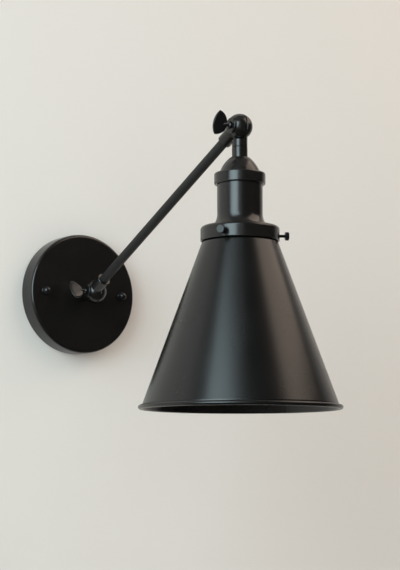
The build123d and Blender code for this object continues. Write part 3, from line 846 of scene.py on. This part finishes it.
class LAMP_OT_screw_shell(bpy.types.Operator):
    """Roll the coarse thread of the brass shell that takes the lamp"""

    bl_idname = "lamp.screw_shell"
    bl_label = "Screw shell"

    def execute(self, context):
        size = context.scene.lamp_sizes
        low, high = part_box("screw_shell")
        outer, wall, hole = half_width("screw_shell"), 0.4 * MM, 7.5 * MM
        corner, edge, shelf = 1.2 * MM, 0.3 * MM, 1.0 * MM
        plain_top, plain_mouth, depth = 2.5 * MM, 0.8 * MM, 0.35 * MM
        per_turn = 12
        steps = round((high.z - low.z) / size.lamp_pitch * per_turn)
        rise = [low.z + (high.z - corner - low.z) * i / steps for i in range(steps + 1)]
        outline = [(outer, z) for z in rise]
        outline += [(outer - edge, high.z - edge), (outer - shelf, high.z), (hole, high.z)]
        outline += [(hole, high.z - wall), (outer - corner, high.z - wall)]
        outline += [(outer - wall, z) for z in reversed(rise)]

        def rolled(angle, r, z):
            if r < outer - wall - 1e-7 or z > high.z - plain_top or z < low.z + plain_mouth:
                return r
            turn = z / size.lamp_pitch - angle / tau
            return r - depth * (0.5 - 0.5 * cos(tau * turn))

        mesh = to_mesh("rolled_shell", [lathe(outline, 120, rolled)])
        place_piece("rolled_shell", mesh, "screw_shell", Matrix.Translation((HEAD.x, HEAD.y, 0)))
        return {"FINISHED"}


# ------------------------------------------------------------------------ stage
def matt_paint(name, colour, nap_mm, one_sided):
    """Rolled matt paint: a soft nap. One-sided paint lets the view through from behind."""
    material, tree, place = new_material(name)
    nap = add(
        tree,
        "ShaderNodeTexNoise",
        {"Vector": place, "Scale": 1 / (nap_mm * MM), "Detail": 2.0},
    )
    bump = add(
        tree,
        "ShaderNodeBump",
        {"Height": nap.outputs["Fac"], "Strength": 0.05, "Distance": 0.2 * MM},
    )
    paint = add(
        tree,
        "ShaderNodeBsdfPrincipled",
        {"Base Color": linear(colour), "Roughness": 0.85, "Normal": bump.outputs["Normal"]},
    )
    surface = paint.outputs["BSDF"]
    if one_sided:
        clear = add(tree, "ShaderNodeBsdfTransparent").outputs["BSDF"]
        behind = add(tree, "ShaderNodeNewGeometry").outputs["Backfacing"]
        mixed = add(tree, "ShaderNodeMixShader", {0: behind, 1: surface, 2: clear})
        surface = mixed.outputs["Shader"]
    add(tree, "ShaderNodeOutputMaterial", {"Surface": surface})
    return material


def backdrop(name, points, faces, material):
    """Flat piece of the stage."""
    mesh = bpy.data.meshes.new(name)
    mesh.from_pydata(points, [], faces)
    mesh.materials.append(material)
    made = bpy.data.objects.new(name, mesh)
    bpy.context.scene.collection.objects.link(made)
    return made


def wall_with_opening(material):
    """Wall plane, open behind the plate so that light reaches the plate's back."""
    ring, far = [], []
    steps, radius, half_side, behind = 48, 58 * MM, 3.0, 0.4 * MM
    for i in range(steps):
        angle = tau * i / steps
        ring.append((radius * cos(angle), behind, radius * sin(angle)))
        reach = half_side / max(abs(cos(angle)), abs(sin(angle)))
        far.append((reach * cos(angle), behind, max(FLOOR_Z, reach * sin(angle))))
    faces = [(i, steps + i, steps + (i + 1) % steps, (i + 1) % steps) for i in range(steps)]
    return backdrop("wall", ring + far, faces, material)


def soft_box(name, azimuth, elevation, distance, size, power, colour, spread=180):
    """Soft box in a direction from the lamp's middle, facing it; a grid narrows its spread."""
    lamp = bpy.data.lights.new(name, "AREA")
    lamp.shape = "RECTANGLE"
    lamp.size, lamp.size_y = size
    lamp.spread = radians(spread)
    lamp.energy = power
    lamp.color = linear(colour)[:3]
    made = bpy.data.objects.new(name, lamp)
    bpy.context.scene.collection.objects.link(made)
    flat = cos(radians(elevation))
    turn = radians(azimuth)
    away = Vector((flat * cos(turn), flat * sin(turn), sin(radians(elevation))))
    made.location = LAMP_MIDDLE + away * distance
    made.rotation_euler = (-away).to_track_quat("-Z", "Y").to_euler()
    made.visible_camera = False
    return made


def dark_surroundings():
    """Card round the front and cloth on the floor. They only darken what the coats mirror."""
    card = matt_paint("Black_card", "#242424", 5.0, False)
    radius, foot, top = 1.9, FLOOR_Z + 0.02, 2.8
    points = []
    for azimuth in range(243, 363, 8):
        x = LAMP_MIDDLE.x + radius * cos(radians(azimuth))
        y = LAMP_MIDDLE.y + radius * sin(radians(azimuth))
        points += [(x, y, foot), (x, y, top)]
    faces = [(i, i + 2, i + 3, i + 1) for i in range(0, len(points) - 2, 2)]
    side, front, back, height = 1.6, -1.9, -0.02, FLOOR_Z + 0.03
    sheet = [(-side, front), (side, front), (side, back), (-side, back)]
    corners = [(x, y, height) for x, y in sheet]
    for dark in (
        backdrop("black_card", points, faces, card),
        backdrop("black_cloth", corners, [(0, 1, 2, 3)], card),
    ):
        dark.visible_camera = dark.visible_diffuse = dark.visible_shadow = False


def soft_boxes():
    """Cool window light, warm light from the right, fill for the wall, and light behind it."""
    window = soft_box("window", 206.5, 16, 1.7, (1.1, 1.62), 9.0, "#DDF8FF", 90)
    # It leans, so that its reflection follows the slant of the shade's left side.
    window.rotation_euler.rotate_axis("Z", radians(-11))
    soft_box("warm", 323, 44, 1.8, (1.62, 1.14), 13.6, "#FFE9D6")
    # The coats don't mirror the fill, so it adds no band to them.
    fill = soft_box("fill", 236, -5, 1.75, (1.6, 1.2), 7.0, "#FFFBF8")
    fill.visible_glossy = False
    soft_box("behind", 118, 38, 1.6, (1.5, 1.5), 10, "#FFFFFF")


def room_light():
    """World that is lighter at eye height than at the ceiling."""
    world = bpy.data.worlds.new("Studio")
    world.use_nodes = True
    tree = world.node_tree
    tree.nodes.clear()
    place = add(tree, "ShaderNodeTexCoord").outputs["Generated"]
    height = add(tree, "ShaderNodeSeparateXYZ", {"Vector": place}).outputs["Z"]
    dim = add(
        tree,
        "ShaderNodeMapRange",
        {"Value": height, "From Min": 0.1, "From Max": 0.9, "To Min": 0.64, "To Max": 0.3},
    )
    glow = add(
        tree,
        "ShaderNodeBackground",
        {"Color": linear("#E8E6E4"), "Strength": dim.outputs["Result"]},
    )
    add(tree, "ShaderNodeOutputWorld", {"Surface": glow.outputs["Background"]})
    return world


def viewpoint():
    """Camera a little below the lamp and to its left."""
    picture_height, focal_length = 570, 1600  # both in pixels
    camera = bpy.data.cameras.new("camera")
    camera.sensor_fit = "VERTICAL"
    camera.sensor_height = 36
    camera.lens = focal_length / picture_height * camera.sensor_height
    view = bpy.data.objects.new("camera", camera)
    bpy.context.scene.collection.objects.link(view)
    view.location = (-0.83674, -1.38907, -0.18802)
    view.rotation_euler = (radians(97.01), 0, radians(-35.6))
    return view


class LAMP_OT_stage(bpy.types.Operator):
    """Set up the wall, the floor, the dark card and cloth, the soft boxes and the camera"""

    bl_idname = "lamp.stage"
    bl_label = "Stage"

    def execute(self, context):
        wall_with_opening(matt_paint("Matt_wall_paint", "#DDD8D3", 5.0, True))
        left, right, front, back = -3, 3, -3, 1
        edge = [(left, front), (right, front), (right, back), (left, back)]
        corners = [(x, y, FLOOR_Z) for x, y in edge]
        floor = matt_paint("Matt_floor_paint", "#DCDAD4", 5.0, False)
        backdrop("floor", corners, [(0, 1, 2, 3)], floor)
        dark_surroundings()
        soft_boxes()
        context.scene.world = room_light()
        context.scene.camera = viewpoint()
        context.scene.view_settings.view_transform = "Standard"
        return {"FINISHED"}


# ------------------------------------------------------------------------ panel
STEPS = [
    LAMP_OT_finishes,
    LAMP_OT_shade,
    LAMP_OT_sleeve,
    LAMP_OT_thumb_keys,
    LAMP_OT_shade_screws,
    LAMP_OT_cap_nuts,
    LAMP_OT_threads,
    LAMP_OT_screw_shell,
    LAMP_OT_stage,
]


class LAMP_PT_panel(bpy.types.Panel):
    """Sizes, colours and steps of the wall lamp"""

    bl_label = "Wall Lamp"
    bl_idname = "LAMP_PT_panel"
    bl_space_type = "VIEW_3D"
    bl_region_type = "UI"
    bl_category = "Wall Lamp"

    def draw(self, context):
        for group in (context.scene.lamp_sizes, context.scene.lamp_colours):
            for name in type(group).__annotations__:
                self.layout.prop(group, name)
        for step in STEPS:
            self.layout.operator(step.bl_idname)


CLASSES = [LampSizes, LampColours, *STEPS, LAMP_PT_panel]


def register():
    for made in CLASSES:
        bpy.utils.register_class(made)
    bpy.types.Scene.lamp_sizes = bpy.props.PointerProperty(type=LampSizes)
    bpy.types.Scene.lamp_colours = bpy.props.PointerProperty(type=LampColours)


def unregister():
    del bpy.types.Scene.lamp_colours
    del bpy.types.Scene.lamp_sizes
    for made in reversed(CLASSES):
        bpy.utils.unregister_class(made)


def main():
    """Register the add-on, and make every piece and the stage."""
    register()
    for step in STEPS:
        group, action = step.bl_idname.split(".")
        getattr(getattr(bpy.ops, group), action)()


if __name__ == "__main__":
    main()
